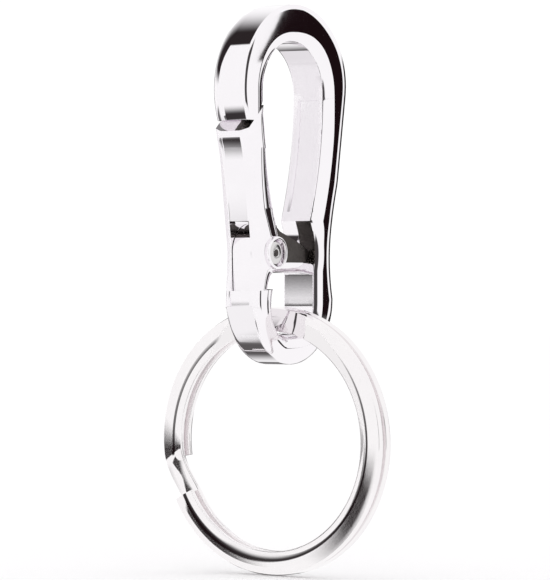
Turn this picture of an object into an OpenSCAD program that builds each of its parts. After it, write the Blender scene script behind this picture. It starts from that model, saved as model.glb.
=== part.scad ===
// Gate clip for a belt loop, with a split ring for keys.
// Origin: centre of the round loop seat inside the arch, at mid thickness.
// X runs from the nose to the spine, the front face looks along -Y, Z is up.

/* [Casting] */
// Thickness of the casting, front to back
body_t = 5.2; // [4.6:0.1:8]
// Radius of the loop seat inside the arch
seat_r = 6.1; // [4.5:0.1:10]
// Metal above the seat, at the crown of the arch
crown_w = 4.4; // [2.5:0.1:7]
// Distance from the centre of the seat to the top of the arch, towards the spine
crown_side = 0.5; // [0:0.1:1.5]
// Metal beside the seat, at the nose
nose_w = 4.1; // [3:0.1:6]
// Metal beside the seat, at the spine
spine_w = 4.7; // [2.8:0.1:7]
// Reach of the nose below the centre of the seat
nose_drop = 3.6; // [2.6:0.1:5]
// Width of the flat end of the nose, before it slants up
nose_flat = 1.9; // [0.8:0.1:2]
// Rise of the slanted end of the nose
nose_slant = 2.4; // [1.4:0.1:2.6]
// Distance that the outer face of the nose draws in towards its end
nose_tuck = 0.75; // [0:0.05:1]

/* [Spine] */
// Length of the inner face of the spine, below the centre of the seat
spine_len = 15.2; // [12:0.1:18]
// Inward lean of the inner face of the spine over that length
spine_lean = 2.6; // [0:0.1:4]
// Depth of the relief pocket in the inner face of the spine
pocket_d = 0.35; // [0.1:0.05:1]
// Width of the relief pocket, front to back
pocket_w = 3.2; // [1:0.1:3.8]

/* [Lower eye] */
// Radius of the eye that holds the key ring
eye_r = 4.1; // [3.9:0.05:4.5]
// Drop from the centre of the seat to the centre of the eye
eye_drop = 25.05; // [24.6:0.05:28]
// Distance from the seat's centre line to the eye's, towards the spine
eye_side = 0.05; // [-0.5:0.05:1]
// Height of the eye's flat top, under the bridge, over its centre
eye_top = 3.6; // [3.4:0.05:4]
// Outside radius of the round end that holds the eye
disc_r = 7.8; // [7:0.1:9]
// Height of the round end's centre over the eye's
disc_lift = 0.5; // [0:0.05:0.8]
// Thickness of the arm between the eye and the nose side
arm_w = 3.6; // [3:0.05:5]
// Radius of the wider mouth of the eye, in front of the tongue and behind it
mouth_r = 4.6; // [4.2:0.05:5]
// Drop of the mouth's centre below the eye's
mouth_drop = 0.3; // [0:0.05:0.6]
// Height of the rounded saddle under the eye, over its front and back edges
saddle_h = 1.6; // [0.8:0.05:2.2]
// Height of the saddle over the bottom of the eye
saddle_rise = 0.5; // [0.1:0.05:0.8]

/* [Pivot] */
// Drop from the centre of the seat to the pivot
pivot_drop = 19.1; // [18:0.1:22]
// Distance from the seat's centre line to the pivot, towards the nose
pivot_side = 3.85; // [3:0.05:5]
// Radius of the tongue's knuckle around the pivot
knuckle_r = 3.2; // [2.6:0.05:4]
// Thickness of the tongue between the ears of the gate
tongue_t = 2.7; // [2:0.1:3.4]
// Width of the slot in the tongue that houses the spring
slot_w = 1.7; // [1.6:0.05:2]

/* [Gate] */
// Width of the gate, front to back
gate_w = 4.9; // [4.4:0.1:6]
// Thickness of each ear and side wall of the gate
ear_t = 1.05; // [0.8:0.05:1.2]
// Thickness of the outer web of the gate
web_t = 0.9; // [0.5:0.05:1.4]
// Step from the outer face of the nose in to the gate's
gate_step = 0.95; // [0.2:0.05:1.2]
// Depth of the side walls at the top of the gate
wall_top_w = 3.4; // [2.8:0.1:4]
// Height of the solid head of the gate, below its top face
head_h = 2; // [1:0.1:4]
// Drop from the centre of the seat to the lower edge of the web
web_drop = 15.4; // [13:0.1:15.6]
// Radius of the gate's feet around the pivot
foot_r = 7.4; // [6.6:0.05:8]
// Width of the foot of each ear
foot_w = 2; // [1:0.1:3]
// Radius of the round boss on each ear
boss_r = 2.25; // [1.9:0.05:2.6]
// Height of the boss over the ear
boss_h = 0.35; // [0.1:0.01:0.4]
// Height that the feet of the gate stand proud of the arm below them
foot_proud = 0.15; // [0:0.05:0.6]
// Opening angle at which the gate stops
gate_open = 32; // [20:1:34]

/* [Rivet] */
// Radius of the rivet's shank
shank_r = 0.95; // [0.7:0.05:1.05]
// Radius of the bore through the tubular rivet
rivet_bore_r = 0.5; // [0.3:0.05:0.6]
// Radius of the rolled rivet head
rivet_head_r = 1.4; // [1.2:0.05:1.7]
// Height of the rolled head over its seat in the boss
rivet_head_h = 0.25; // [0.15:0.01:0.4]
// Depth of the seat for the rolled head, below the rim of the boss
rivet_sink = 0.6; // [0.1:0.05:0.8]

/* [Gate spring] */
// Diameter of the spring wire
spring_wire_d = 0.36; // [0.25:0.01:0.4]
// Mean radius of the spring's coil
spring_coil_r = 1.5; // [1.35:0.05:1.6]
// Clear gap between neighbouring turns
spring_gap = 0.44; // [0.42:0.01:0.46]
// Length of the leg that lies against the web
spring_long_leg = 5.6; // [4:0.1:7]
// Length of the leg that is held in the tongue
spring_short_leg = 2; // [1.5:0.1:2.2]

/* [Split ring] */
// Outside diameter of the key ring
ring_od = 32; // [28:0.5:38]
// Radial width of the flat wire
wire_w = 2.9; // [2:0.1:3.4]
// Thickness of the flat wire, along the ring's axis
wire_t = 1.04; // [0.8:0.02:1.3]
// Clear gap between the two turns
turn_gap = 0.46; // [0.42:0.01:0.6]
// Corner bevel of the flat wire
wire_bevel = 0.26; // [0.1:0.01:0.35]
// Angle over which the wire steps from one turn to the other
jog_sweep = 24; // [20:1:36]
// Distance from the centre of the eye to the middle of the ring, towards the nose
ring_side = 0.85; // [0:0.05:1]
// Angle below the ring's back at which the wire starts
wire_start = 28; // [0:1:60]

/* [Fits] */
// Clearance on each side of a part that slides or turns between faces
side_play = 0.05; // [0.02:0.01:0.1]
// Radial clearance of the gate's bores on the rivet
turn_play = 0.04; // [0.02:0.01:0.08]
// Radial clearance of the rivet in the tongue
seat_play = 0.02; // [0.01:0.01:0.04]
// Gap between the knuckle and the outer edges of the ears
waist_play = 0.35; // [0.05:0.05:0.5]
// Gap between the feet of the gate and the shoulder of the casting
foot_play = 0.15; // [0.1:0.01:0.3]
// Gap between the slanted ends of the nose and the gate
joint_play = 0.3; // [0.2:0.01:0.5]
// Gap between the nose and the gate at their outer faces
rim_gap = 1.2; // [0.8:0.05:1.4]
// Gap between the ring and the saddle that it hangs on
ring_play = 0.3; // [0.1:0.01:0.4]

/* [Hidden] */
$fn = 96;

// Overrun of every cut past the face that it breaks
over = 1;
// Segments in a quarter turn, along the nose and in a blended stretch of an outline
quarter_turn = 16;
nose_steps = 6;
blend_steps = 10;

// Outer edge of the casting
nose_x = seat_r + nose_w;
spine_x = seat_r + spine_w;
crown_z = seat_r + crown_w;
// Height of the widest point of the arch on its spine side, over the seat's centre
haunch_z = seat_r * 0.2;
// Angle by which the outer edge of the spine leans in, below the arch
spine_taper = 9;

// Lower eye, the round outline about it and the saddle that the ring hangs on
eye = [eye_side, -eye_drop];
disc = eye + [disc_r - eye_r - arm_w, disc_lift];
mouth = eye - [mouth_r - eye_r, mouth_drop];
crest_z = eye[1] - eye_r + saddle_rise;
saddle_r = (pow(body_t / 2, 2) + pow(saddle_h, 2)) / (2 * saddle_h);

// Pivot, and the recess in each face for the ears of the gate
pivot = [-pivot_side, -pivot_drop];
spine_foot = [seat_r - spine_lean, -spine_len];
recess_r = norm(spine_foot - pivot);
shoulder_r = foot_r + foot_play;

// Slanted joint between the nose and the gate
nose_corner = [-nose_x + nose_flat, -nose_drop];
joint_slope = nose_slant / (nose_w - nose_flat);
joint_drop = joint_play * sqrt(1 + pow(joint_slope, 2));

// Gate, in the same plane as the casting
channel_w = gate_w - 2 * ear_t;
head_seat = gate_w / 2 + boss_h - rivet_sink;
gate_top = [-nose_x + gate_step, -nose_drop - rim_gap];
gate_waist = [pivot[0] - knuckle_r - waist_play, pivot[1]];
foot_from = -180 + acos((pivot[0] - (disc[0] - disc_r - foot_proud)) / foot_r);
foot_to = foot_from + foot_w / foot_r * 180 / PI;

// Gate spring: its long leg ends against the web of the gate
web_at_leg = gate_outer(pivot[1] + spring_long_leg) + web_t + spring_wire_d / 2 + 2 * side_play;
leg_lean = asin((pivot[0] - web_at_leg) / norm([spring_coil_r, spring_long_leg]))
    - atan2(spring_coil_r, spring_long_leg);
coil_from = 180 + leg_lean;
coil_to = 705;
coil_pitch = spring_wire_d + spring_gap;

// Split ring, hanging on the saddle with its axis along X
ring_in_r = ring_od / 2 - wire_w;
ring_centre = [eye[0] - ring_side, 0, crest_z + ring_play - ring_in_r];
turn_pitch = wire_t + turn_gap;
wire_steps = 116;
wire_sweep = 720 - jog_sweep * 0.8;

function lerp(a, b, t) = a + (b - a) * t;
function polar(r, a) = r * [cos(a), sin(a)];
function arc(c, rx, rz, a0, a1, steps) =
    [for (i = [0:steps]) let (a = lerp(a0, a1, i / steps)) c + [rx * cos(a), rz * sin(a)]];
function bezier(p0, p1, p2, p3, steps) =
    [for (i = [1:steps]) let (t = i / steps, s = 1 - t)
        s * s * s * p0 + 3 * s * s * t * p1 + 3 * s * t * t * p2 + t * t * t * p3];
function ease(t) = let (u = min(max(t, 0), 1)) u * u * (3 - 2 * u);

// Outer face of the gate at a height, above the pivot
function gate_outer(z) = lerp(gate_waist[0], gate_top[0], (z - gate_waist[1]) / (gate_top[1] - gate_waist[1]));

// Straight extrusion of a drawing in the XZ plane, centred on the mid plane
module slab(thick) {
    rotate([90, 0, 0]) linear_extrude(thick, center = true) children();
}

// Closed tube through rings of points, all with the same number of sides
module tube(rings) {
    sides = len(rings[0]);
    last = len(rings) - 1;
    wall = [for (k = [0:last - 1], i = [0:sides - 1]) let (j = (i + 1) % sides, a = k * sides, b = a + sides)
        each [[a + i, b + i, b + j], [a + i, b + j, a + j]]];
    caps = [for (i = [1:sides - 2]) each [[0, i, i + 1], [last * sides, last * sides + i + 1, last * sides + i]]];
    polyhedron([for (ring = rings) each ring], concat(wall, caps));
}

// Casting without its openings: arch, nose, spine and the round about the eye
module casting_outline() {
    crown = [crown_side, 0];
    haunch = [crown_side, haunch_z];
    haunch_rx = spine_x - crown_side;
    haunch_rz = crown_z - haunch_z;
    taper_from = haunch + [haunch_rx * cos(spine_taper), -haunch_rz * sin(spine_taper)];
    taper_to = taper_from + [-tan(spine_taper), -1] * (spine_len * 0.7 + taper_from[1]);
    disc_side = disc + [disc_r, 0];
    waist = (taper_to[1] - disc_side[1]) / 2;
    polygon(concat(
        [disc - [disc_r, 0], [-nose_x + nose_tuck, -nose_drop - over]],
        [for (i = [nose_steps:-1:1]) let (t = i / nose_steps) [-nose_x + nose_tuck * t * t, -nose_drop * t]],
        arc(crown, nose_x + crown_side, crown_z, 180, 90, quarter_turn),
        arc(haunch, haunch_rx, haunch_rz, 90 - 90 / quarter_turn, -spine_taper, quarter_turn),
        [taper_to],
        bezier(taper_to, taper_to - [0.22, 0.73] * waist, disc_side + [-0.16, 0.7] * waist,
            disc_side, blend_steps)));
    translate(disc) circle(disc_r);
}

// Opening for the loop: round seat, nose, leaning spine, and all that the gate covers
module window_outline() {
    intersection() {
        circle(seat_r);
        translate([-seat_r, 0]) square([2 * seat_r, seat_r]);
    }
    polygon(concat(
        [for (i = [0:blend_steps]) let (t = i / blend_steps)
            [seat_r - spine_lean * t * t, -spine_len * t]],
        [
            pivot,
            [-nose_x - over, pivot[1]],
            [-nose_x - over, -nose_drop],
            nose_corner,
            [-seat_r, -nose_drop + nose_slant],
            [-seat_r, 0]
        ]));
}

// Recess for the ears: as wide as the foot of the spine on one side, as the feet on the other
module recess_outline() {
    intersection() {
        translate(pivot) circle(recess_r);
        translate([pivot[0], pivot[1] - recess_r]) square(2 * recess_r);
    }
    intersection() {
        translate(pivot) circle(shoulder_r);
        translate([pivot[0] - 2 * shoulder_r, pivot[1] - shoulder_r]) square(2 * shoulder_r);
    }
}

// Eye under the bridge: round, with a flat top and a square corner on the spine side
module eye_outline() {
    translate(eye) {
        intersection() {
            circle(eye_r);
            translate([-eye_r, -eye_r]) square([2 * eye_r, eye_r + eye_top]);
        }
        square([eye_r, eye_top]);
    }
}

// Tongue and bridge: the thin middle layer that carries the pivot
module tongue_outline() {
    wall_x = disc[0] + disc_r;
    root_x = (eye[0] + eye_r + wall_x) / 2;
    knuckle_top = pivot + polar(knuckle_r, 50);
    bridge_end = [root_x, pivot[1] - knuckle_r * 0.4];
    translate(pivot) circle(knuckle_r);
    polygon(concat(
        [
            pivot - [knuckle_r, 0],
            [pivot[0] - knuckle_r, eye[1] - eye_r / 3],
            [eye[0] - eye_r, eye[1] - mouth_r - mouth_drop * 2],
            [eye[0] + eye_r, eye[1] - mouth_r - mouth_drop * 2],
            [root_x, eye[1] - eye_r / 3],
            bridge_end
        ],
        bezier(bridge_end, bridge_end + polar(knuckle_r * 0.6, 115),
            knuckle_top + polar(knuckle_r, -20), knuckle_top, blend_steps)));
}

// Room in the tongue for the coil of the spring, and for both legs as the gate swings
module spring_room() {
    coil_room = spring_coil_r + spring_wire_d;
    tail_room = norm([spring_coil_r, spring_short_leg]) + spring_wire_d;
    margin = atan2(spring_wire_d, coil_room);
    tail_low = coil_to - 720 + acos(spring_coil_r / coil_room) - gate_open - margin;
    tail_high = coil_to - 720 + atan2(spring_short_leg, spring_coil_r) + margin;
    translate(pivot) {
        circle(coil_room);
        rotate(leg_lean) translate([-coil_room, 0]) square([2 * coil_room, knuckle_r + over]);
        intersection() {
            circle(tail_room);
            polygon([[0, 0], polar(2 * tail_room, tail_low), polar(2 * tail_room, tail_high)]);
        }
    }
}

module relief_pocket_outline() {
    top = seat_r / 6;
    steps = 8;
    polygon(concat(
        [for (i = [-1:steps]) let (t = max(i, 0) / steps * 0.9)
            [seat_r + pocket_d - spine_lean * t * t, i < 0 ? top : -spine_len * t]],
        [[0, -spine_len * 0.9], [0, top]]));
}

module hook_body() {
    color("#d4d6da") difference() {
        union() {
            difference() {
                slab(body_t) difference() {
                    casting_outline();
                    window_outline();
                    recess_outline();
                    translate(mouth) circle(mouth_r);
                    eye_outline();
                }
                slab(pocket_w) relief_pocket_outline();
            }
            slab(tongue_t) difference() {
                tongue_outline();
                eye_outline();
            }
            intersection() {
                translate([0, 0, crest_z - saddle_r]) rotate([0, 90, 0])
                    cylinder(h = 3 * disc_r, r = saddle_r, center = true);
                slab(body_t) translate(disc) circle(disc_r - saddle_h / 2);
            }
        }
        slab(body_t) translate(pivot) circle(shank_r + seat_play);
        slab(slot_w) spring_room();
    }
}

// Side view of the gate, without its channel
module gate_outline() {
    boss_side = pivot + polar(boss_r, 20);
    inner_top = gate_top + [wall_top_w, 0];
    lip_x = -seat_r - joint_play / 3;
    polygon(concat(
        [
            gate_waist,
            gate_top,
            nose_corner - [(rim_gap - joint_drop) / joint_slope, rim_gap],
            [lip_x, nose_corner[1] + (lip_x - nose_corner[0]) * joint_slope - joint_drop],
            inner_top
        ],
        bezier(inner_top, lerp(inner_top, boss_side, 0.5) - [wall_top_w * 0.34, 0],
            boss_side + polar(boss_r * 1.5, 110), boss_side, blend_steps),
        [
            pivot,
            pivot + polar(boss_r, -112),
            pivot + polar(foot_r * 0.78, foot_to)
        ],
        [for (i = [4:-1:0]) pivot + polar(foot_r, lerp(foot_from, foot_to, i / 4))]));
    translate(pivot) circle(boss_r);
}

// What the channel takes out between the side walls, and the notch under the web
module channel_outline() {
    channel_top = gate_top[1] - head_h;
    polygon([
        [gate_outer(channel_top) + web_t, channel_top],
        [gate_outer(-web_drop) + web_t, -web_drop],
        [-nose_x - over, -web_drop],
        [-nose_x - over, pivot[1] - foot_r - over],
        [0, pivot[1] - foot_r - over],
        [0, channel_top]
    ]);
}

module gate() {
    color("#cfd1d6") difference() {
        union() {
            slab(gate_w) gate_outline();
            slab(gate_w + 2 * boss_h) translate(pivot) circle(boss_r - boss_h);
        }
        slab(channel_w) channel_outline();
        for (side = [-1, 1]) translate([pivot[0], side * (head_seat + over / 2), pivot[1]])
            rotate([90, 0, 0]) cylinder(h = over, r = rivet_head_r + 4 * side_play, center = true);
        slab(gate_w + over) translate(pivot) circle(shank_r + turn_play);
    }
}

// Tubular rivet with both ends rolled over the bosses
module pivot_rivet() {
    seat = head_seat + side_play;
    end = seat + rivet_head_h;
    flare = rivet_head_h * 0.8;
    edge = rivet_head_h / 2;
    half = [
        [shank_r, seat],
        [rivet_head_r, seat],
        [rivet_head_r, end - edge],
        [rivet_head_r - edge, end],
        [rivet_bore_r + flare, end],
        [rivet_bore_r, end - flare]
    ];
    color("#a8aaae") translate([pivot[0], 0, pivot[1]]) rotate([90, 0, 0]) rotate_extrude()
        polygon(concat(half, [for (i = [len(half) - 1:-1:0]) [half[i][0], -half[i][1]]]));
}

// Torsion spring: a coil on the rivet, one leg on the web and one in the tongue
module gate_spring() {
    coil_steps = 18;
    half_w = coil_pitch * (coil_to - coil_from) / 720;
    coil = [for (i = [0:coil_steps]) let (a = lerp(coil_from, coil_to, i / coil_steps))
        [a, lerp(-half_w, half_w, i / coil_steps), 0]];
    path = concat([[coil_from, -half_w, -spring_long_leg]], coil, [[coil_to, half_w, spring_short_leg]]);
    rings = [for (p = path) [for (j = [0:5]) let (r = spring_coil_r + spring_wire_d / 2 * cos(60 * j))
        let (q = pivot + polar(r, p[0]) + polar(p[2], p[0] + 90))
        [q[0], p[1] + spring_wire_d / 2 * sin(60 * j), q[1]]]];
    echo("least gap between the spring's turns", coil_pitch - spring_wire_d);
    color("#b9b4a6") tube(rings);
}

// Split ring: flat wire wound twice, with one step from turn to turn between its ends
function wire_x(t) = turn_pitch * (ease((t - wire_sweep / 2) / jog_sweep + 0.5) - 0.5);

module split_ring() {
    mid_r = ring_od / 2 - wire_w / 2;
    corners = [
        [wire_w / 2, wire_t / 2 - wire_bevel],
        [wire_w / 2 - wire_bevel, wire_t / 2],
        [wire_bevel - wire_w / 2, wire_t / 2],
        [-wire_w / 2, wire_t / 2 - wire_bevel],
        [-wire_w / 2, wire_bevel - wire_t / 2],
        [wire_bevel - wire_w / 2, -wire_t / 2],
        [wire_w / 2 - wire_bevel, -wire_t / 2],
        [wire_w / 2, wire_bevel - wire_t / 2]
    ];
    rings = [for (i = [0:wire_steps]) let (t = wire_sweep * i / wire_steps, a = -wire_start - t)
        [for (c = corners) ring_centre + [wire_x(t) + c[1], (mid_r + c[0]) * cos(a), (mid_r + c[0]) * sin(a)]]];
    gaps = [for (i = [0:wire_steps]) let (t = wire_sweep * i / wire_steps) if (t + 360 <= wire_sweep)
        wire_x(t + 360) - wire_x(t) - wire_t];
    echo("least gap between the ring's turns", min(gaps));
    color("#c9cbd0") tube(rings);
}

hook_body();
gate();
pivot_rivet();
gate_spring();
split_ring();
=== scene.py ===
# Belt key clip: a chromed gate clip with a flat-wire split ring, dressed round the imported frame.
import bpy, bmesh
from math import acos, asin, atan2, cos, degrees, hypot, pi, radians, sin, sqrt, tan
from mathutils import Matrix, Vector


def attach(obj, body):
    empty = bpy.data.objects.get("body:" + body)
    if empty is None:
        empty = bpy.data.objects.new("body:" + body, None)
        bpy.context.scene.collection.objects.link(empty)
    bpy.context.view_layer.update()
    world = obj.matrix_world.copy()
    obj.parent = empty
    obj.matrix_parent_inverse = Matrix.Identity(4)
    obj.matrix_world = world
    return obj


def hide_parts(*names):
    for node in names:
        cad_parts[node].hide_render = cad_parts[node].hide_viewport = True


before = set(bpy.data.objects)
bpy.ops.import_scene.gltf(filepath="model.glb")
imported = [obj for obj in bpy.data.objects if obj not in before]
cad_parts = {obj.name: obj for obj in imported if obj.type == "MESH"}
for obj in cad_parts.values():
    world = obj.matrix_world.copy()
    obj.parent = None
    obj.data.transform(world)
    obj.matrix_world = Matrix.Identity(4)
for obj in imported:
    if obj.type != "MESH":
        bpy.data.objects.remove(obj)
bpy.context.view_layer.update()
mm = 0.001
print("frame loaded")


def linear(hexColour):
    # sRGB hex to a linear colour
    parts = [int(hexColour[i:i + 2], 16) / 255 for i in (1, 3, 5)]
    return tuple(c / 12.92 if c <= 0.04045 else ((c + 0.055) / 1.055) ** 2.4 for c in parts) + (1,)


def lerp(a, b, t):
    return a + (b - a) * t


def ease(t):
    t = min(max(t, 0), 1)
    return t * t * (3 - 2 * t)


def between(x, a, b):
    # 0 before a, 1 after b, smooth between them
    return ease((x - a) / (b - a))


def polar(centre, radius, angle):
    return Vector((centre[0] + radius * cos(radians(angle)), centre[1] + radius * sin(radians(angle))))


# Materials


def addNode(tree, kind, links=None, **settings):
    # A setting names an attribute or an input, and links gives the socket that feeds an input
    node = tree.nodes.new(kind)
    for name, value in settings.items():
        if name in node.inputs:
            node.inputs[name].default_value = value
        else:
            setattr(node, name, value)
    for name, source in (links or {}).items():
        tree.links.new(source, node.inputs[name])
    return node


def metal(name, colour, roughness, wave, waveSize, grain=0, grainSize=0.1, tint=0.04):
    # Plated metal: a faint low wave from polishing, a fine grain, and a little change of gloss and tint.
    # Waves and grains are in mm: height, then size
    made = bpy.data.materials.new(name)
    made.use_nodes = True
    tree = made.node_tree
    shader = tree.nodes["Principled BSDF"]
    shader.inputs["Metallic"].default_value = 1
    place = addNode(tree, "ShaderNodeTexCoord").outputs["Object"]
    broad = addNode(tree, "ShaderNodeTexNoise", {"Vector": place}, Scale=1 / (waveSize * mm), Detail=2.0)
    gloss = addNode(tree, "ShaderNodeMapRange", {"Value": broad.outputs["Fac"]})
    for socket, value in zip((1, 2, 3, 4), (0.3, 0.7, roughness * 0.8, roughness * 1.25)):
        gloss.inputs[socket].default_value = value
    tree.links.new(gloss.outputs[0], shader.inputs["Roughness"])
    dark = tuple(c * (1 - tint) for c in linear(colour)[:3]) + (1,)
    shade = addNode(tree, "ShaderNodeMix", {"Factor": broad.outputs["Fac"]}, data_type="RGBA")
    for socket, value in ((6, dark), (7, linear(colour))):
        shade.inputs[socket].default_value = value
    tree.links.new(shade.outputs[2], shader.inputs["Base Color"])
    low = addNode(tree, "ShaderNodeBump", {"Height": broad.outputs["Fac"]}, Strength=1.0, Distance=wave * mm)
    if grain:
        fine = addNode(tree, "ShaderNodeTexNoise", {"Vector": place}, Scale=1 / (grainSize * mm), Detail=3.0)
        low = addNode(tree, "ShaderNodeBump", {"Height": fine.outputs["Fac"], "Normal": low.outputs[0]},
                      Strength=1.0, Distance=grain * mm)
    tree.links.new(low.outputs[0], shader.inputs["Normal"])
    return made


# Zinc alloy, die cast, polished and chromed: a clear cool mirror, with a very faint wave
chromeCasting = metal("polished chrome on zinc casting", "#f4f1f4", roughness=0.014, wave=0.0005, waveSize=5)
# The gate is the same plating on a thinner casting
chromeGate = metal("polished chrome on gate casting", "#f4f1f4", roughness=0.018, wave=0.0006, waveSize=4)
# Chrome in the corners that polishing doesn't reach: a pebbled, rough skin, with a dark grey base colour that is
# painted shade in these corners and recesses
roughChromeAndPaintedShade = metal("as-cast chrome skin with painted shade", "#56514f", roughness=0.32, wave=0.004, waveSize=1.2,
                     grain=0.03, grainSize=0.28, tint=0.4)
# Steel tube, plated after it is rolled over: duller, with a fine uneven skin
rivetSteel = metal("plated rivet steel", "#dddbdb", roughness=0.1, wave=0.003, waveSize=0.8,
                   grain=0.004, grainSize=0.12, tint=0.15)
# Flat steel wire, nickel plated: bright, a trace warmer than the chrome
nickelWire = metal("nickel-plated flat wire", "#f3f0f1", roughness=0.02, wave=0.0008, waveSize=3)
# Hard-drawn spring wire, oiled: dull grey
springWire = metal("hard-drawn spring wire", "#8d8982", roughness=0.3, wave=0.002, waveSize=0.5,
                   grain=0.004, grainSize=0.08, tint=0.2)
print("materials made")


# Mesh helpers


def loft(loops):
    # A solid through loops of points: a capped circle, extruded on from loop to loop
    mesh = bmesh.new()
    bmesh.ops.create_circle(mesh, cap_ends=True, segments=len(loops[0]), radius=mm)
    mesh.faces.ensure_lookup_table()
    face = mesh.faces[0]
    place = mesh.verts.layers.int.new("place")
    for i, vert in enumerate(face.verts):
        vert[place] = i
        vert.co = Vector(loops[0][i]) * mm
    for i, loop in enumerate(loops[1:]):
        last = face
        made = bmesh.ops.extrude_face_region(mesh, geom=[last])["geom"]
        face = next(g for g in made if isinstance(g, bmesh.types.BMFace))
        if i:
            bmesh.ops.delete(mesh, geom=[last], context="FACES_ONLY")
        for vert in face.verts:
            vert.co = Vector(loop[vert[place]]) * mm
    mesh.verts.layers.int.remove(place)
    return mesh


def corner(before, a, b, after, roundness=0, radius=0.08):
    # Nine points over a corner from a to b: a chamfer with eased ends, or more of a quarter round.
    # The first and last stand back on the flats, so that these shade as true planes
    before, a, b, after = (Vector(p) for p in (before, a, b, after))
    u, v, w = ((q - p).normalized() for p, q in ((before, a), (a, b), (b, after)))
    r = min(radius, (b - a).length * 0.4, (a - before).length * 0.25, (after - b).length * 0.25)
    flat = [a - u * r, a + (v - u) * r / 4, a + v * r, (a + b) / 2, b - v * r, b + (w - v) * r / 4, b + w * r]
    wide, deep = (b - a).dot(u), (b - a).dot(w)
    turns = [radians(15 * i) for i in range(7)]
    curved = [a + w * deep * (1 - cos(t)) + u * wide * sin(t) for t in turns]
    return [a - u * 2 * r] + [p.lerp(q, roundness) for p, q in zip(flat, curved)] + [b + w * 2 * r]


def plate(outline, thick):
    # A flat plate in the XZ plane, centred on the mid plane
    mesh = bmesh.new()
    bmesh.ops.create_circle(mesh, cap_ends=True, segments=len(outline), radius=mm)
    mesh.faces.ensure_lookup_table()
    face = mesh.faces[0]
    for vert, point in zip(face.verts, outline):
        vert.co = Vector((point[0], -thick / 2, point[1])) * mm
    made = bmesh.ops.extrude_face_region(mesh, geom=[face])["geom"]
    lifted = [g for g in made if isinstance(g, bmesh.types.BMVert)]
    bmesh.ops.translate(mesh, vec=(0, thick * mm, 0), verts=lifted)
    return mesh


def around(faces):
    # The faces with their edges and vertices, each once and in order, for a cut
    edges = dict.fromkeys(e for f in faces for e in f.edges)
    verts = dict.fromkeys(v for f in faces for v in f.verts)
    return [*faces, *edges, *verts]


def bevelEdges(mesh, wanted, offset, segments):
    edges = [e for e in mesh.edges if wanted(e)]
    bmesh.ops.bevel(mesh, geom=edges, offset=offset * mm, offset_type="OFFSET", segments=segments,
                    profile=0.5, affect="EDGES", clamp_overlap=False, material=-1)


def turned(profile, steps=64):
    # Spins a chain of (radius, distance along Y) about the Y axis
    mesh = bmesh.new()
    verts = [mesh.verts.new((r * mm, y * mm, 0)) for r, y in profile]
    edges = [mesh.edges.new(pair) for pair in zip(verts, verts[1:])]
    bmesh.ops.spin(mesh, geom=verts + edges, cent=(0, 0, 0), axis=(0, 1, 0), angle=2 * pi, steps=steps,
                   use_merge=True)
    bmesh.ops.remove_doubles(mesh, verts=mesh.verts, dist=0.002 * mm)
    return mesh


def convex(edge, angle):
    return edge.is_manifold and edge.is_convex and edge.calc_face_angle(0) > radians(angle)


def finish(name, mesh, materials, sharp=38):
    # Makes the piece: doubles merged, faces out, smooth apart from its edges
    bmesh.ops.remove_doubles(mesh, verts=mesh.verts, dist=0.0005 * mm)
    bmesh.ops.dissolve_degenerate(mesh, edges=mesh.edges, dist=0.0005 * mm)
    bmesh.ops.recalc_face_normals(mesh, faces=mesh.faces)
    for face in mesh.faces:
        face.smooth = True
    for edge in mesh.edges:
        edge.smooth = edge.calc_face_angle(0) < radians(sharp)
    data = bpy.data.meshes.new(name)
    mesh.to_mesh(data)
    mesh.free()
    piece = bpy.data.objects.new(name, data)
    bpy.context.scene.collection.objects.link(piece)
    for material in materials:
        data.materials.append(material)
    evened = piece.modifiers.new("even shading", "WEIGHTED_NORMAL")
    evened.keep_sharp = True
    return piece


def joined(mesh, other, move=(0, 0, 0)):
    # Adds another bmesh's solid to this one
    bmesh.ops.translate(other, vec=Vector(move) * mm, verts=other.verts)
    data = bpy.data.meshes.new("part")
    other.to_mesh(data)
    other.free()
    mesh.from_mesh(data)
    bpy.data.meshes.remove(data)
    return mesh


def cutAway(piece, mesh):
    # Takes a closed bmesh out of a piece
    cutter = finish("cutter", mesh, [])
    cut = piece.modifiers.new("cut", "BOOLEAN")
    cut.operation = "DIFFERENCE"
    cut.solver = "EXACT"
    cut.object = cutter
    with bpy.context.temp_override(object=piece, active_object=piece):
        bpy.ops.object.modifier_apply(modifier=cut.name)
    data = cutter.data
    bpy.data.objects.remove(cutter)
    bpy.data.meshes.remove(data)


# Hook casting: one strip from the nose over the arch and down the spine, then round the eye to the arm

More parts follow.
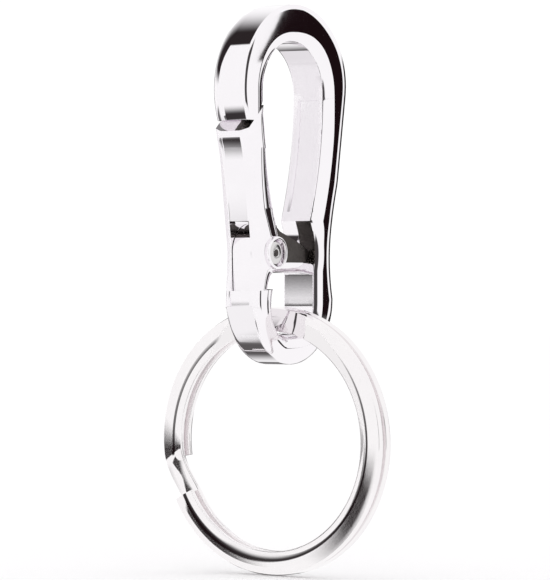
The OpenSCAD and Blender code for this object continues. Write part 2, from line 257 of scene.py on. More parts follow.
hook = dict(
    half=2.6, tongue=1.35, knuckleR=3.5, pivot=(-3.85, -19.1),
    # nose, and its slanted end
    noseX=-10.2, noseTop=-0.3, noseFoot=-3.8, noseTuck=0.75, noseDrop=3.6, noseFlat=1.9, noseSlant=2.4,
    # arch and spine, whose outer edge tapers over a share of its length
    seatR=6.1, crownSide=0.5, crownZ=10.5, spineX=10.8, haunchZ=1.22,
    spineLen=15.2, spineLean=2.6, sectionLean=0.9, taper=9, taperShare=0.7,
    # recess for the gate's ears, disc and eye, and how far round these two the arm goes
    recessR=8.27, disc=(0.15, -24.55), discR=7.8, eye=(0.05, -25.05), eyeR=4.1, eyeTop=3.6, crest=-28.65,
    discTurn=187, eyeTurn=204,
    # outer chamfers: W on the flat side and D on the edge
    noseW=0.42, noseD=0.2, farW=1.1, farD=1.9, spineW=1.07, spineD=0.26, discW=1.2, discD=0.95,
    # inner chamfers, in the same way
    innerNose=1.35, innerCrown=1.0, innerSpine=1.75, innerD=0.4, innerEyeD=2.4, innerArmD=1.2,
    # pocket in the inner face
    pocketDepth=0.35, pocketHalf=1.6, pocketTop=1.0, pocketFoot=-13.7,
    # middle plate: end of the bridge and pulls of its curve as length and angle, heel under the eye, and bevels
    bridgeEnd=(6.0, -20.3), bridgePulls=((2.9, -20), (2.2, 118)), heel=((-6.3, -27.0), (-7.05, -26.35)),
    saddleBevel=1.25, edgeBevel=0.06,
    archSteps=30, spineSteps=26, recessSteps=14, eyeSteps=50)


def bezier(p0, p1, p2, p3, t):
    s = 1 - t
    return s * s * s * p0 + 3 * s * s * t * p1 + 3 * s * t * t * p2 + t * t * t * p3


def curveAt(z, *points):
    # The place on a falling curve at a height, found by halving
    low, high = 0, 1
    for _ in range(30):
        mid = (low + high) / 2
        place = bezier(*points, mid)
        low, high = (mid, high) if place.y > z else (low, mid)
    return place


def hookStations():
    # Pairs of an outer and an inner point along the strip, from the nose to the arm under the gate's feet
    h = hook
    seat = (0, 0)
    pairs = []
    lipX = -h["seatR"]
    # nose: its outer face bends in a little towards its end
    for i in range(9):
        z = lerp(h["noseFoot"], h["noseTop"], i / 8)
        tuck = h["noseTuck"] * (z / h["noseDrop"]) ** 2
        pairs.append((Vector((h["noseX"] + tuck, z)), Vector((lipX, z))))
    # arch
    steps = h["archSteps"]
    rx, rz = h["crownSide"] - h["noseX"], h["crownZ"]
    for i in range(steps + 1):
        a = radians(180 - 90 * i / steps)
        pairs.append((Vector((h["crownSide"] + rx * cos(a), rz * sin(a))), polar(seat, h["seatR"], degrees(a))))
    rx, rz = h["spineX"] - h["crownSide"], h["crownZ"] - h["haunchZ"]
    for i in range(1, steps + 1):
        a = radians(90 - 90 * i / steps)
        outer = Vector((h["crownSide"] + rx * cos(a), h["haunchZ"] + rz * sin(a)))
        pairs.append((outer, polar(seat, h["seatR"], degrees(a))))
    # spine, down to its foot
    a = radians(-h["taper"])
    taperFrom = Vector((h["crownSide"] + rx * cos(a), h["haunchZ"] + rz * sin(a)))
    drop = h["spineLen"] * h["taperShare"]
    taperTo = Vector((taperFrom.x - tan(radians(h["taper"])) * (drop + taperFrom.y), -drop))
    discSide = Vector((h["disc"][0] + h["discR"], h["disc"][1]))
    waist = (taperTo.y - discSide.y) / 2
    pulls = taperTo - Vector((0.22, 0.73)) * waist, discSide + Vector((-0.16, 0.7)) * waist

    def outerAt(z):
        if z > taperFrom.y:
            return Vector((h["crownSide"] + rx * sqrt(max(0, 1 - ((z - h["haunchZ"]) / rz) ** 2)), z))
        if z > taperTo.y:
            return taperFrom.lerp(taperTo, (z - taperFrom.y) / (taperTo.y - taperFrom.y))
        return curveAt(z, taperTo, *pulls, discSide)

    steps = h["spineSteps"]
    for t in [0.04] + [i / steps for i in range(1, steps + 1)]:
        z = -h["spineLen"] * t
        inner = Vector((h["seatR"] - h["spineLean"] * t * t, z))
        pairs.append((outerAt(z + h["sectionLean"] * (1 - t)), inner))
    # wall of the recess for the ears, then the eye's straight wall
    foot = pairs[-1][1]
    first = degrees(atan2(foot.y - h["pivot"][1], foot.x - h["pivot"][0]))
    eyeRight = h["eye"][0] + h["eyeR"]
    last = -degrees(acos((eyeRight - h["pivot"][0]) / h["recessR"]))
    steps = h["recessSteps"]
    for i in range(1, steps + 1):
        inner = polar(h["pivot"], h["recessR"], lerp(first, last, i / steps))
        pairs.append((outerAt(inner.y), inner))
    top = pairs[-1][1].y
    for i in range(1, 7):
        outer = outerAt(lerp(top, h["disc"][1], i / 6))
        pairs.append((outer, Vector((eyeRight, lerp(top, h["eye"][1], i / 6)))))
    # round the eye, to the arm
    for i in range(1, h["eyeSteps"] + 1):
        t = i / h["eyeSteps"]
        outer = polar(h["disc"], h["discR"], -t * h["discTurn"])
        inner = polar(h["eye"], h["eyeR"], -t * h["eyeTurn"])
        inner.y = max(inner.y, h["crest"]) if inner.y < h["eye"][1] else inner.y
        pairs.append((outer, inner))
    return pairs


def hookLoop(outer, inner, form):
    # One section of the strip: chamfered or rounded corners, and the pocket in its inner face
    h = hook
    across = outer - inner
    width = across.length
    across.normalize()
    half, inW, inD, outW, outD = (h["half"], *(form[n] for n in ("innerW", "innerD", "outerW", "outerD")))
    farW, farD = form["farW"], form["farD"]
    lip = min(h["pocketHalf"], (half - inD) * 0.7)
    points = [(form["pocket"], 0), (form["pocket"], -lip * 0.92), (0, -lip)]
    points += corner((0, -lip), (0, -half + inD), (inW, -half), (width, -half), form["innerRound"])
    points += corner((0, -half), (width - outW, -half), (width, -half + outD), (width, 0), form["outerRound"])
    points.append((width, 0))
    far = corner((0, -half), (width - farW, -half), (width, -half + farD), (width, 0), form["farRound"])
    points += [(a, -y) for a, y in reversed(points[1:12] + far)]
    return [(inner.x + across.x * a, y, inner.y + across.y * a) for a, y in points]


def hookForm(outer, inner, past):
    # Sizes of the corners at a place along the strip; past is how far round the eye it is, from 0 to 1
    h = hook
    z, x = inner.y, inner.x
    onNose = x < 0 and past == 0
    if z > 0 and x < 0:
        wide = lerp(h["innerNose"], h["innerCrown"], between(x, -h["seatR"], 0))
    elif z > 0:
        wide = lerp(h["innerCrown"], h["innerSpine"], between(x, 0, 5.2))
    elif onNose:
        wide = h["innerNose"]
    else:
        # wider down the spine, then narrower at the recess
        wide = h["innerSpine"] + 0.2 * between(-z, 0, 6) - 0.75 * between(-z, 15, 18.5)
    across = between(x, -1, 5) if past == 0 else 1
    rim, rimD = lerp(h["noseW"], h["spineW"], across), lerp(h["noseD"], h["spineD"], across)
    form = dict(innerW=wide, innerD=h["innerD"], innerRound=0, outerW=rim, outerD=rimD, outerRound=0, pocket=0)
    left = 1 - between(x, -3, 2) if past == 0 else 0
    form.update(farW=lerp(rim, h["farW"], left), farD=lerp(rimD, h["farD"], left), farRound=left)
    if past == 0 and not onNose and h["pocketFoot"] < z < h["pocketTop"] - 1:
        form["pocket"] = h["pocketDepth"]
    if past > 0:
        turn = between(past, 0.05, 0.42)
        leave = between(past, 0.55, 0.95)
        rim, rimD = lerp(rim, h["discW"], turn), lerp(rimD, h["discD"], turn)
        form.update(innerW=lerp(wide, h["innerSpine"], turn), innerRound=turn,
                    innerD=lerp(lerp(h["innerD"], h["innerEyeD"], turn), h["innerArmD"], leave),
                    outerW=rim, outerD=rimD, outerRound=turn, farW=rim, farD=rimD, farRound=turn)
    return form


def makeHook():
    h = hook
    pairs = hookStations()
    loops = []
    for i, (outer, inner) in enumerate(pairs):
        past = max(0, i - (len(pairs) - 1 - h["eyeSteps"])) / h["eyeSteps"]
        form = hookForm(outer, inner, past)
        before = hookForm(*pairs[i - 1], 0)["pocket"] if i and past == 0 else form["pocket"]
        if before != form["pocket"]:
            loops.append(hookLoop(outer, inner, {**form, "pocket": before}))
            outer, inner = (p + (q - p) * 0.02 for p, q in zip((outer, inner), pairs[i + 1]))
        loops.append(hookLoop(outer, inner, form))
    mesh = loft(loops)
    # the slanted end of the nose, then the flat under its tip
    tip = Vector((h["noseX"] + h["noseFlat"], 0, -h["noseDrop"]))
    lip = Vector((-h["seatR"], 0, -h["noseDrop"] + h["noseSlant"]))
    slope = lip - tip
    for normal in (Vector((slope.z, 0, -slope.x)), Vector((0, 0, -1))):
        near = [v for v in mesh.verts if -4 * mm < v.co.z < -1 * mm and v.co.x < -6 * mm]
        faces = list(dict.fromkeys(f for v in near for f in v.link_faces))
        cut = bmesh.ops.bisect_plane(mesh, geom=around(faces), plane_co=tip * mm, plane_no=normal,
                                     dist=0.0001 * mm, clear_outer=True)
        edges = [g for g in cut["geom_cut"] if isinstance(g, bmesh.types.BMEdge)]
        bmesh.ops.holes_fill(mesh, edges=[e for e in edges if e.is_boundary])
    # the thin middle plate: knuckle, bridge, and the top and wall of the eye
    knuckle = [polar(h["pivot"], h["knuckleR"], a) for a in range(180, 44, -4)]
    top, bridgeEnd = knuckle[-1], Vector(h["bridgeEnd"])
    pulls = [end + polar((0, 0), *pull) for end, pull in zip((top, bridgeEnd), h["bridgePulls"])]
    bridge = [bezier(top, *pulls, bridgeEnd, i / 12) for i in range(1, 13)]
    eyeX, flatTop = h["eye"][0], h["eye"][1] + h["eyeTop"]
    left = eyeX - sqrt(h["eyeR"] ** 2 - h["eyeTop"] ** 2)
    eyeWall = [Vector((x, flatTop)) for x in (bridgeEnd.x, eyeX + h["eyeR"], left + 2.6, left)]
    start = degrees(atan2(h["eyeTop"], left - eyeX))
    eyeWall += [polar(h["eye"], h["eyeR"], lerp(start, h["eyeTurn"], i / 14)) for i in range(1, 15)]
    eyeWall += [Vector(point) for point in h["heel"]]
    middle = plate(knuckle + bridge + eyeWall, 2 * h["tongue"])

    def onSaddle(edge):
        # edges of the eye's top and wall, where the ring hangs
        spot = (edge.verts[0].co + edge.verts[1].co) / 2 / mm
        flat = abs(edge.verts[0].co.y - edge.verts[1].co.y) < 0.01 * mm
        away = hypot(spot.x - eyeX, spot.z - h["eye"][1])
        return flat and -26.5 < spot.z < flatTop + 0.05 and away < h["eyeR"] + 2.5 and spot.x > -6

    bevelEdges(middle, onSaddle, h["saddleBevel"], 6)
    bevelEdges(middle, lambda e: convex(e, 60), h["edgeBevel"], 2)
    joined(mesh, middle)
    # polishing doesn't reach the sides of the middle plate and the near half of the recess wall, which take the
    # rough skin with its painted shade
    for face in mesh.faces:
        x, y, z = face.calc_center_median() / mm
        away = hypot(x - h["pivot"][0], z - h["pivot"][1])
        onPlate = abs(face.normal.y) > 0.9 and abs(abs(y) - h["tongue"]) < 0.01
        onWall = abs(face.normal.x) > 0.5 and abs(away - h["recessR"]) < 0.15
        onWall = onWall and y < 0 and x > 2.5 and z > h["bridgeEnd"][1]
        face.material_index = 1 if onPlate or onWall else 0
    piece = finish("hookCasting", mesh, [chromeCasting, roughChromeAndPaintedShade])
    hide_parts("hook_body")
    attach(piece, "hook")


makeHook()
print("hook made")


# Gate: a channel that opens inwards, with a solid head and two ears

gate = dict(
    half=2.45, wall=1.05, web=0.9, cornerX=0.5, fillet=0.25, pivot=hook["pivot"],
    # slanted top, and how far the back bows in on its way from the shoulder to the boss
    top=(-9.25, -4.85), lip=(-6.2, -1.75), shoulder=(-5.85, -4.8), backBow=1.156,
    # front: how far its top stands out and over what length that fades, the solid head, the notch under the web
    panelTop=-5.6, panelFade=3.2, panelStep=0.32, headFoot=-6.8, notchTop=-15.4, waistPlay=0.05,
    # boss with its raised rim, the bore, and the recess for the rivet's head
    boss=2.25, rimR=1.97, rimProud=0.35, bore=0.99, recessR=1.6, recessY=2.2,
    # ears: knee in front, curve behind, and feet as angles round the pivot
    knee=(-7.46, -20.9), heelCurve=((-4.6, -21.5), (-5.25, -22.6)), footR=7.4, footOut=-122.3, footIn=-106.8,
    # inner chamfers: width at the top, in the head, at the boss, heel and foot, and depth for each width
    innerTop=0.3, innerW=0.7, innerBoss=2.55, innerHeel=1.7, innerFoot=0.5, innerSlope=0.28,
    # as-cast skin, darkened as painted shade: how far down the channel it goes, and where it ends on the slanted
    # top
    skinAndShadeFoot=-18, skinAndShadeY=-0.6)


def gateStations():
    # Outer point, inner point, 1 where the channel is open, width of the inner chamfer
    g = gate
    top, lip, shoulder, pivot = (Vector(g[name]) for name in ("top", "lip", "shoulder", "pivot"))
    waist = pivot - Vector((hook["knuckleR"] + g["waistPlay"], 0))
    boss = polar(pivot, g["boss"], 20)
    p1 = shoulder.lerp(boss, 0.5) - Vector((g["backBow"], 0))
    p2 = boss + polar((0, 0), g["boss"] * 1.5, 110)

    def outerAt(z):
        on = top.lerp(waist, (z - top.y) / (waist.y - top.y))
        left = min(max(1 - (g["panelTop"] - z) / g["panelFade"], 0), 1)
        return on - Vector((g["panelStep"] * left ** 2, 0))

    def innerAt(z):
        if z > shoulder.y:
            return lip.lerp(shoulder, (z - lip.y) / (shoulder.y - lip.y))
        return Vector((curveAt(z, shoulder, p1, p2, boss).x, z))

    rows = [(outerAt(top.y), lip, 0, g["innerTop"])]
    level = g["panelTop"] + 0.02
    for i in range(1, 5):
        inner = innerAt(lerp(lip.y, shoulder.y - 0.8, i / 5))
        rows.append((outerAt(lerp(top.y, level, i / 5)), inner, 0, g["innerW"]))
    heights = (level, g["panelTop"] - 0.02, -5.9, -6.2, -6.5, g["headFoot"] + 0.04)
    rows += [(outerAt(z), innerAt(z), 0, g["innerW"]) for z in heights]
    for i in range(31):
        z = lerp(g["headFoot"], boss.y, i / 30)
        rows.append((outerAt(z), innerAt(z), 1, lerp(g["innerW"], g["innerBoss"], min(max(0, -z - 5) / 9, 1))))
    # round the boss and down the ears to the feet
    knee = Vector(g["knee"])
    for i in range(1, 13):
        t = i / 12
        rows.append((waist.lerp(knee, t), polar(pivot, g["boss"], lerp(20, -84, t)), 1,
                     lerp(g["innerBoss"], g["innerHeel"], t)))
    footOut, footIn = (polar(pivot, g["footR"], g[name]) for name in ("footOut", "footIn"))
    heel, pulls = rows[-1][1], [Vector(point) for point in g["heelCurve"]]
    for i in range(1, 17):
        t = i / 16
        inner = bezier(heel, *pulls, footIn, t)
        rows.append((knee.lerp(footOut, t), inner, 1, lerp(g["innerHeel"], g["innerFoot"], t)))
    return rows


def gateLoop(outer, inner, isOpen, chamfer):
    # One section: flat front, chamfered front corners, inner chamfers, and the channel behind the web
    g = gate
    along = inner - outer
    width = along.length
    along.normalize()
    half, edge = g["half"], g["half"] - g["wall"]
    floor = g["web"] if isOpen else width
    fillet = g["fillet"] * isOpen
    front = min(g["cornerX"], width * 0.3)
    inW = min(chamfer, width * 0.6)
    points = [(0, 0)] + corner((0, 0), (0, -edge), (front, -half), (width, -half))
    points += corner((0, -half), (width - inW, -half), (width, -half + inW * g["innerSlope"]), (width, 0))
    points += [(width, -edge - 0.06), (width - 0.015 * isOpen, -edge - 0.015), (width - 0.06 * isOpen, -edge),
               (floor + fillet, -edge + 0.04 * (1 - isOpen)), (floor + fillet * 0.3, -edge + 0.08),
               (floor, -edge + g["fillet"]), (floor, 0)]
    mirrored = [(a, -y) for a, y in reversed(points[1:-1])]
    return [(outer.x + along.x * a, y, outer.y + along.y * a) for a, y in points + mirrored]


def makeGate():
    g = gate
    piece = finish("gateLever", loft([gateLoop(*row) for row in gateStations()]), [chromeGate])
    # the notch under the web shows the knuckle; the rivet goes through the bore and sinks into the recesses
    left, right, foot = -12, -3, -28  # well past the gate in front and below
    notch = [Vector(p) for p in ((left, g["notchTop"]), (left, foot), (right, foot), (right, g["notchTop"]))]
    cutAway(piece, plate(notch, 2 * (g["half"] - g["wall"]) + 0.02))
    out = g["half"] + g["rimProud"] + 0.5
    half = [(g["bore"], g["recessY"]), (g["recessR"], g["recessY"]), (g["recessR"], out), (0, out)]
    bore = turned([(a, -y) for a, y in reversed(half)] + half)
    bmesh.ops.translate(bore, vec=Vector((g["pivot"][0], 0, g["pivot"][1])) * mm, verts=bore.verts)
    cutAway(piece, bore)
    mesh = bmesh.new()
    mesh.from_mesh(piece.data)
    top = g["half"] + g["rimProud"]
    for side in (-1, 1):
        rim = [(g["recessR"], g["recessY"]), (g["recessR"], top - 0.05), (g["recessR"] + 0.05, top),
               (g["rimR"] - 0.16, top), (g["rimR"] - 0.05, top - 0.04), (g["rimR"], top - 0.14),
               (g["rimR"] + 0.05, g["half"] - 1.0), (g["recessR"], g["recessY"])]
        disc = turned([(a, side * y) for a, y in rim])
        joined(mesh, disc, (g["pivot"][0], 0, g["pivot"][1]))
    bmesh.ops.remove_doubles(mesh, verts=mesh.verts, dist=0.0005 * mm)
    bmesh.ops.recalc_face_normals(mesh, faces=mesh.faces)
    old = piece.data
    bpy.data.objects.remove(piece)
    bpy.data.meshes.remove(old)
    # as cast and darkened as painted shade inside the channel, round the rivet and on the near part of the slanted
    # top
    topFoot = -5.2
    head = [f for f in mesh.faces if f.normal.z > 0.5 and f.calc_center_median().z > topFoot * mm]
    bmesh.ops.bisect_plane(mesh, geom=around(head), plane_co=(0, g["skinAndShadeY"] * mm, 0), plane_no=(0, 1, 0),
                           dist=0.0001 * mm)
    for face in mesh.faces:
        x, y, z = face.calc_center_median() / mm
        away = hypot(x - g["pivot"][0], z - g["pivot"][1])
        inWalls = abs(y) < g["half"] - g["wall"] + 0.05
        inside = inWalls and g["skinAndShadeFoot"] < z < g["headFoot"] and face.normal.x > -0.3
        sunk = away < g["recessR"] - 0.02 and abs(y) > g["recessY"] - 0.1
        onTop = face.normal.z > 0.5 and z > topFoot and y < g["skinAndShadeY"]
        face.material_index = 1 if inside or sunk or onTop else 0
    piece = finish("gateLever", mesh, [chromeGate, roughChromeAndPaintedShade], 28)
    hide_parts("gate")
    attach(piece, "gate")


makeGate()
print("gate made")


# Tubular rivet, flared and rolled at both ends

rivet = dict(shank=0.95, bore=0.5, head=1.36, seat=2.25, proud=0.25, edgeR=0.1, crown=0.14, mouth=0.12)


def makeRivet():
    r = rivet
    end = r["seat"] + r["proud"]
    edge, crown, mouth = r["edgeR"], r["crown"], r["mouth"]
    roll = r["head"] - r["bore"] - mouth
    half = [(r["shank"], 0), (r["shank"], r["seat"])]
    for a in (0, 45, 90):
        half.append((r["head"] - edge + edge * sin(radians(a)), r["seat"] + edge - edge * cos(radians(a))))
    for a in range(0, 181, 15):
        half.append((r["bore"] + mouth + roll * cos(radians(a)), end - crown + crown * sin(radians(a))))
    half += [(r["bore"], end - 0.5), (r["bore"], 0)]
    profile = half + [(a, -y) for a, y in reversed(half[:-1])]
    mesh = turned(profile)
    # the inside of the bore takes the rough skin, with its base colour darkened as painted shade
    for face in mesh.faces:
        spot = face.calc_center_median() / mm
        face.material_index = 1 if hypot(spot.x, spot.z) < r["bore"] + 0.02 else 0
    bmesh.ops.translate(mesh, vec=Vector((gate["pivot"][0], 0, gate["pivot"][1])) * mm, verts=mesh.verts)
    piece = finish("tubularRivet", mesh, [rivetSteel, roughChromeAndPaintedShade])
    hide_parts("pivot_rivet")
    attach(piece, "hook")


makeRivet()
print("rivet made")


# Torsion spring, whose coil lies hidden inside the tongue; the solid has a slot for it, the casting above has none

spring = dict(wire=0.36, coilR=1.5, gap=0.44, longLeg=5.6, shortLeg=2.0, webPlay=0.1, toAngle=705, sides=12,
              perTurn=48)


def tubeLoops(path, radius, sides):
    # Circles square to a path, carried along it without twist
    loops = []
    normal = None
    for i, point in enumerate(path):
        along = (path[min(i + 1, len(path) - 1)] - path[max(i - 1, 0)]).normalized()
        if normal is None:
            normal = along.orthogonal().normalized()
        normal = (normal - along * normal.dot(along)).normalized()
        other = along.cross(normal)
        turns = [2 * pi * j / sides for j in range(sides)]
        loops.append([point + normal * radius * cos(t) + other * radius * sin(t) for t in turns])
    return loops


def makeSpring():
    s, g = spring, gate
    pivot = Vector(g["pivot"])
    waistX = pivot.x - hook["knuckleR"] - g["waistPlay"]
    outerX = lerp(waistX, g["top"][0], s["longLeg"] / (g["top"][1] - pivot.y))
    # the long leg leans until its end lies behind the gate's web
    webX = outerX + g["web"] + s["wire"] / 2 + s["webPlay"]
    lean = degrees(asin((pivot.x - webX) / hypot(s["coilR"], s["longLeg"])) - atan2(s["coilR"], s["longLeg"]))
    start, end = 180 + lean, s["toAngle"]
    pitch = s["wire"] + s["gap"]
    halfW = pitch * (end - start) / 720

    def spot(angle, y, out):
        p = polar(pivot, s["coilR"], angle) + polar((0, 0), out, angle + 90)
        return Vector((p.x, y, p.y))

    count = int((end - start) / 360 * s["perTurn"])
    path = [spot(start, -halfW, -s["longLeg"] * (1 - i / 12)) for i in range(12)]
    path += [spot(lerp(start, end, i / count), lerp(-halfW, halfW, i / count), 0) for i in range(count + 1)]
    path += [spot(end, halfW, s["shortLeg"] * i / 5) for i in range(1, 6)]
    piece = finish("torsionSpring", loft(tubeLoops(path, s["wire"] / 2, s["sides"])), [springWire], 40)
    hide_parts("gate_spring")
    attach(piece, "gate")


makeSpring()
print("spring made")


# Split ring: flat wire with a crowned face, wound twice

# start, jog and endGap are degrees: where the wire begins, its step between the coils, and the part of
# two full turns that is left open between its ends
ring = dict(outerR=16, wireW=2.9, wireT=1.04, gap=0.46, start=28, jog=24, endGap=19.2, x=-0.8, z=-41.45,
            steps=320, crown=0.16, edgeR=0.2)


def ringSection():
    # Points (radial, axial) round the wire's section: crowned faces and rounded edges
    r = ring
    halfW, halfT, edge, crown = r["wireW"] / 2, r["wireT"] / 2, r["edgeR"], r["crown"]
    face = []
    for i in range(9):
        u = lerp(-1, 1, i / 8) * (halfW - edge)
        face.append((u, halfT - crown * (u / (halfW - edge)) ** 2))
    drop = halfT - crown
    turns = [radians(90 * i / 4) for i in range(1, 4)]
    rounded = [(halfW - edge + edge * sin(a), drop - edge + edge * cos(a)) for a in turns]
    side = face + rounded + [(halfW, drop - edge)]
    return side + [(-u, -v) for u, v in side]


def makeRing():
    r = ring
    section = ringSection()
    mid = r["outerR"] - r["wireW"] / 2
    pitch = r["wireT"] + r["gap"]
    sweep = 720 - r["endGap"]
    loops = []
    for i in range(r["steps"] + 1):
        t = sweep * i / r["steps"]
        a = radians(-r["start"] - t)
        x = pitch * (ease((t - sweep / 2) / r["jog"] + 0.5) - 0.5)
        loops.append([(r["x"] + x + v, (mid + u) * cos(a), r["z"] + (mid + u) * sin(a)) for u, v in section])
    piece = finish("splitRing", loft(loops), [nickelWire], 40)
    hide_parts("split_ring")
    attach(piece, "ring")


makeRing()
print("ring made")


# Set: pale floor, soft light, and dark and white cloths that only the plating reflects

# target, distance and floorGap are in mm, scale in px per mm at the target, and centre and frame in px
setup = dict(target=(-0.5, 0, -23.48), azimuth=-54, distance=400, scale=8.39, centre=(276, 290), frame=(550, 580),
             black="#1a0f12", clothSide=144, floorGap=0.05)


def makeCamera():
    s = setup
    a = radians(s["azimuth"])
    back = Vector((sin(a), -cos(a), 0))
    data = bpy.data.cameras.new("camera")
    camera = bpy.data.objects.new("camera", data)
    bpy.context.scene.collection.objects.link(camera)
    camera.location = (Vector(s["target"]) + back * s["distance"]) * mm
    camera.rotation_euler = back.to_track_quat("Z", "Y").to_euler()
    data.sensor_fit = "HORIZONTAL"
    data.sensor_width = 36
    width, height = s["frame"]
    focal = s["scale"] * s["distance"]
    data.lens = focal * data.sensor_width / width
    longest = max(width, height)
    data.shift_x = (width / 2 - s["centre"][0]) / longest
    data.shift_y = (s["centre"][1] - height / 2) / longest
    data.clip_start, data.clip_end = 0.01, 50
    bpy.context.scene.camera = camera


# Dark cards far round the set, in degrees: azimuth from +X and elevation, each from, to, and softness of both ends
cards = dict(
    front=dict(az=(-35.9, -24, 0.02, 6), el=(-0.6, 4.0, 0.4, 0.1), dark=1),
    frontTop=dict(az=(-38.28, -24, 0.02, 6), el=(3.9, 9, 0.1, 1), tilt=-0.506, dark=1),
    high=dict(az=(68, 119, 56, 3), el=(12, 64, 12, 8), dark=0.985),
    side=dict(az=(-97, -74, 4, 4), el=(-6, 29, 3, 4), dark=0.95),
    edge=dict(az=(-7, 62, 2, 20), el=(-9, 8, 3, 3), dark=0.99),
    rear=dict(az=(14, 108, 24, 12), el=(-25, -11, 4, 4), dark=0.85),
    under=dict(az=(50, 112, 26, 44), el=(-60, -26, 8, 8), dark=0.9))


def calc(tree, operation, a, b=None, c=None):
    node = addNode(tree, "ShaderNodeMath", operation=operation)
    for socket, value in zip(node.inputs, (a, b, c)):
        if isinstance(value, (int, float)):
            socket.default_value = value
        elif value is not None:
            tree.links.new(value, socket)
    return node.outputs[0]


def fade(tree, value, start, end):
    # 0 at start, 1 at end
    node = addNode(tree, "ShaderNodeMapRange", {"Value": value}, interpolation_type="SMOOTHSTEP")
    for socket, at in zip((1, 2, 3, 4), (start, end, 0, 1)):
        node.inputs[socket].default_value = at
    return node.outputs[0]


def product(tree, factors):
    result = factors[0]
    for factor in factors[1:]:
        result = calc(tree, "MULTIPLY", result, factor)
    return result


def makeStudio(tree):
    # White all round, with the cards seen only in reflections
    sky = tree.nodes["Background"]
    place = addNode(tree, "ShaderNodeTexCoord").outputs["Generated"]
    spot = addNode(tree, "ShaderNodeSeparateXYZ", {"Vector": place})
    azimuth = calc(tree, "DEGREES", calc(tree, "ARCTAN2", spot.outputs[1], spot.outputs[0]))
    elevation = calc(tree, "DEGREES", calc(tree, "ARCSINE", spot.outputs[2]))
    light = 1.0
    for card in cards.values():
        across = calc(tree, "MULTIPLY_ADD", elevation, card.get("tilt", 0), azimuth)
        sides = []
        for value, (low, high, softLow, softHigh) in ((across, card["az"]), (elevation, card["el"])):
            sides.append(fade(tree, value, low - softLow / 2, low + softLow / 2))
            sides.append(fade(tree, value, high + softHigh / 2, high - softHigh / 2))
        passed = calc(tree, "MULTIPLY_ADD", product(tree, sides), -card["dark"], 1)
        light = calc(tree, "MULTIPLY", passed, light)
    seen = addNode(tree, "ShaderNodeLightPath").outputs["Is Glossy Ray"]
    light = calc(tree, "ADD", calc(tree, "MULTIPLY", light, seen), calc(tree, "SUBTRACT", 1, seen))
    shade = addNode(tree, "ShaderNodeMix", {"Factor": light}, data_type="RGBA")
    shade.inputs[6].default_value = linear(setup["black"])
    shade.inputs[7].default_value = linear("#ffffff")
    tree.links.new(shade.outputs[2], sky.inputs["Color"])
    sky.inputs["Strength"].default_value = 1.06


def stagePlane(name, matrix, size, material):
    # A square of the set, which isn't part of the clip
    mesh = bmesh.new()
    bmesh.ops.create_grid(mesh, x_segments=1, y_segments=1, size=0.5)
    bmesh.ops.scale(mesh, vec=(size * mm, size * mm, 1), verts=mesh.verts)
    data = bpy.data.meshes.new(name)
    mesh.to_mesh(data)
    mesh.free()
    data.materials.append(material)
    plane = bpy.data.objects.new(name, data)
    bpy.context.scene.collection.objects.link(plane)
    plane.matrix_world = matrix
    return plane


def flag(name, distance, cover, shape, colour=setup["black"]):
    # A cloth close behind the clip, square to its own side, that only reflections see.
    # The shape gets u to the side and z up in mm, and gives how much the cloth covers there
    material = bpy.data.materials.new(name + " cloth")
    material.use_nodes = True
    tree = material.node_tree
    place = addNode(tree, "ShaderNodeTexCoord").outputs["Object"]
    spot = addNode(tree, "ShaderNodeSeparateXYZ", {"Vector": place})
    u, z = (calc(tree, "DIVIDE", spot.outputs[i], mm) for i in (0, 1))
    mask = calc(tree, "MULTIPLY", shape(tree, u, z), cover)
    glow = addNode(tree, "ShaderNodeEmission", Color=linear(colour))
    clear = addNode(tree, "ShaderNodeBsdfTransparent")
    mixed = addNode(tree, "ShaderNodeMixShader")
    for socket, source in zip(mixed.inputs, (mask, clear.outputs[0], glow.outputs[0])):
        tree.links.new(source, socket)
    tree.links.new(mixed.outputs[0], tree.nodes["Material Output"].inputs["Surface"])
    turn = radians(setup["clothSide"])
    aside, back = Vector((sin(turn), -cos(turn), 0)), Vector((cos(turn), sin(turn), 0))
    matrix = Matrix((aside, Vector((0, 0, 1)), -back)).transposed().to_4x4()
    matrix.translation = back * distance * mm
    plane = stagePlane(name, matrix, distance * 3 + 200, material)
    for ray in ("camera", "diffuse", "shadow", "transmission", "volume_scatter"):
        setattr(plane, "visible_" + ray, False)


def lowShape(tree, u, z):
    # dark foot of the nose and top of the gate: bent, as a face that leans down turns its reflection aside
    down = calc(tree, "ADD", z, 3)
    bent = calc(tree, "MULTIPLY_ADD", calc(tree, "MULTIPLY", down, down), -0.35 / 92, u)
    return product(tree, [fade(tree, z, -28, -49), fade(tree, z, -66, -59), fade(tree, bent, 1.4, 0.4),
                          fade(tree, bent, -14, -11)])


def seatShape(tree, u, z):
    # white over the inside of the arch and the spine
    level = calc(tree, "MULTIPLY_ADD", u, 1.05, z)
    return product(tree, [fade(tree, u, 1.2, 2.4), fade(tree, level, -18, -12), fade(tree, level, 6.2, 4.6)])


def armShape(tree, u, z):
    # white over the arm under the gate's feet
    return product(tree, [fade(tree, u, -9.5, -8.5), fade(tree, u, 5, 4), fade(tree, z, -25.8, -26.6),
                          fade(tree, z, -49, -35)])


def eyeShape(tree, u, z):
    # dark at the top of the eye, fading downwards
    return product(tree, [fade(tree, z, -26.5, -20.5), fade(tree, z, -18.6, -19.4), fade(tree, u, -1, 0),
                          fade(tree, u, 5.5, 4.5)])


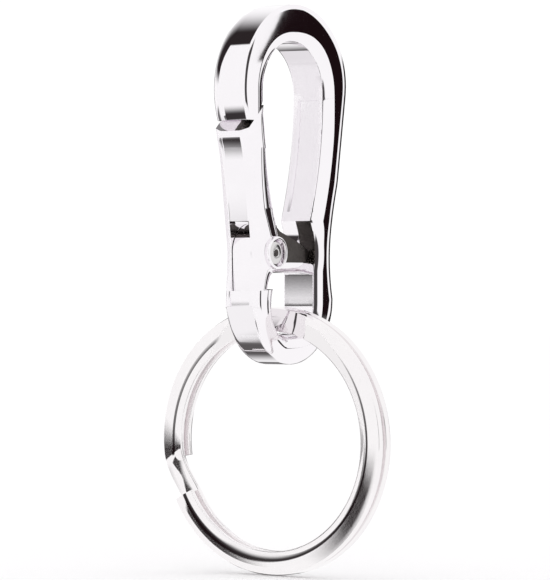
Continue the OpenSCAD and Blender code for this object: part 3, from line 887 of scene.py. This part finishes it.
def ringShape(tree, u, z):
    # dark patches round the ring as it shows on the cloth: its centre, mean radius, and how narrow it gets.
    # Each patch has two angles with their soft ends, and a half width along the radius with its soft end
    centreU, centreZ, middle, narrow = -0.47, ring["z"] - 1.35, 15.6, 0.809
    patches = ((10, -4, -15, -18, 14, 17), (-31, -35, -62, -94, 3.6, 4.8), (-180, -158, -146, -112, 13, 24))
    y = calc(tree, "DIVIDE", calc(tree, "SUBTRACT", u, centreU), narrow)
    up = calc(tree, "SUBTRACT", z, centreZ)
    angle = calc(tree, "DEGREES", calc(tree, "ARCTAN2", up, y))
    turn = calc(tree, "ADD", angle, calc(tree, "MULTIPLY", calc(tree, "GREATER_THAN", angle, 90), -360))
    radius = calc(tree, "SQRT", calc(tree, "ADD", calc(tree, "MULTIPLY", y, y), calc(tree, "MULTIPLY", up, up)))
    away = calc(tree, "ABSOLUTE", calc(tree, "SUBTRACT", radius, middle))
    total = 0.0
    for start, full, close, end, wide, gone in patches:
        ends = [fade(tree, turn, start, full), fade(tree, turn, end, close)]
        total = calc(tree, "ADD", product(tree, ends + [fade(tree, away, gone, wide)]), total)
    return total


def makeFlags():
    # name, distance in mm, how much it covers, shape, and a colour where it is white
    flag("low flag", 100, 0.97, lowShape)
    flag("seat flag", 12, 0.9, seatShape, "#f8f6f8")
    flag("arm flag", 12.5, 1.0, armShape, "#ffffff")
    flag("eye flag", 40, 0.85, eyeShape)
    flag("ring flag", 30, 0.93, ringShape)


def makeFloor():
    # White card under the ring
    card = bpy.data.materials.new("white card")
    card.use_nodes = True
    shader = card.node_tree.nodes["Principled BSDF"]
    shader.inputs["Base Color"].default_value = linear("#fbfafb")
    shader.inputs["Roughness"].default_value = 1.0
    shader.inputs["Specular IOR Level"].default_value = 0.0
    level = ring["z"] - ring["outerR"] - setup["floorGap"]
    floor = stagePlane("floor", Matrix.Translation((0, 0, level * mm)), 4000, card)
    floor.visible_glossy = False


def makeSet():
    scene = bpy.context.scene
    scene.view_settings.view_transform = "Standard"
    # the plating faces itself in the channels, so light goes on for many turns
    scene.cycles.max_bounces = 24
    scene.cycles.glossy_bounces = 24
    world = bpy.data.worlds.new("soft light")
    scene.world = world
    world.use_nodes = True
    world.cycles.sampling_method = "NONE"
    makeStudio(world.node_tree)


makeCamera()
makeSet()
makeFlags()
makeFloor()
print("set made")
